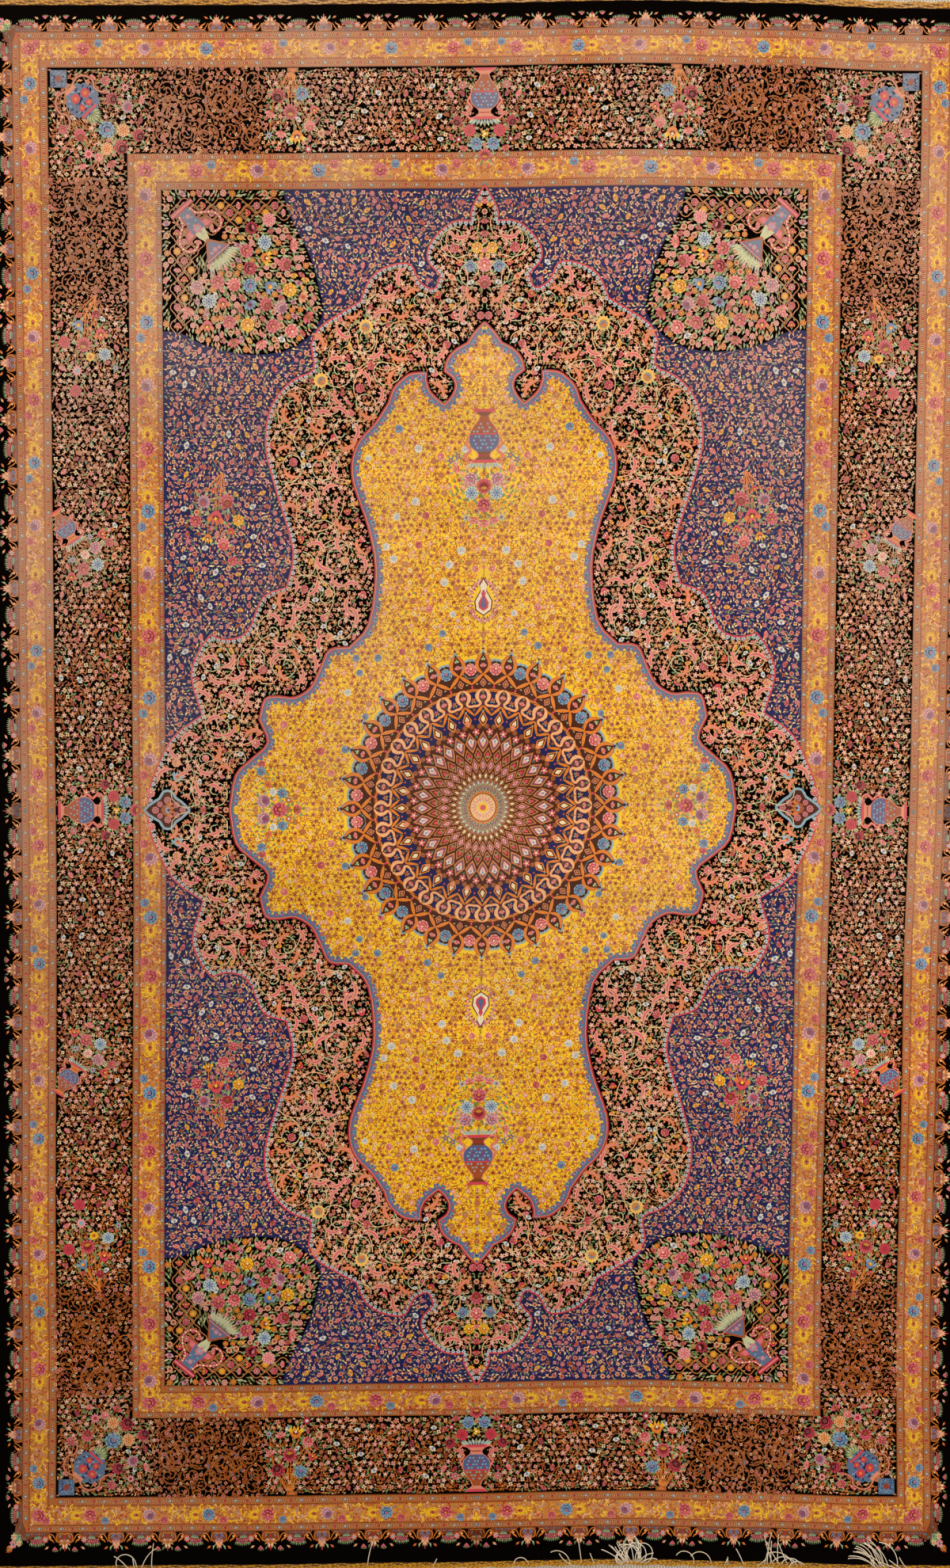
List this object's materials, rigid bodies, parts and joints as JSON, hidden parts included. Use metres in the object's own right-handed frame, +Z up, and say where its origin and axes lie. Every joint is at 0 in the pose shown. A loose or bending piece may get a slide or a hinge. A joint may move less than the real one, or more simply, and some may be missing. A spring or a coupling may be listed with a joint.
{
  "type": "persian rug",
  "caption": "Hand-knotted silk rug lying flat, with a medallion and corner design, flat-woven ends, overcast sides and loose warp fringe.",
  "frame": {"origin": "middle of the whole rug's box, on the surface it lies on", "axes": "+Z up from the surface, +Y along the length to the short end at the picture's top, +X to the picture's right"},
  "size_m": [1.6196, 2.6702, 0.0084],
  "materials": {
    "rug_silk": "knotted silk pile, multicoloured, soft sheen",
    "binding_silk": "black silk overcasting",
    "warp_silk": "cream silk warp ends"
  },
  "bodies": {
    "root": {"rug_cloth": "rug_silk", "side_binding_left": "binding_silk", "side_binding_right": "binding_silk", "fringe_top": "warp_silk", "fringe_bottom": "warp_silk"}
  },
  "joints": []
}
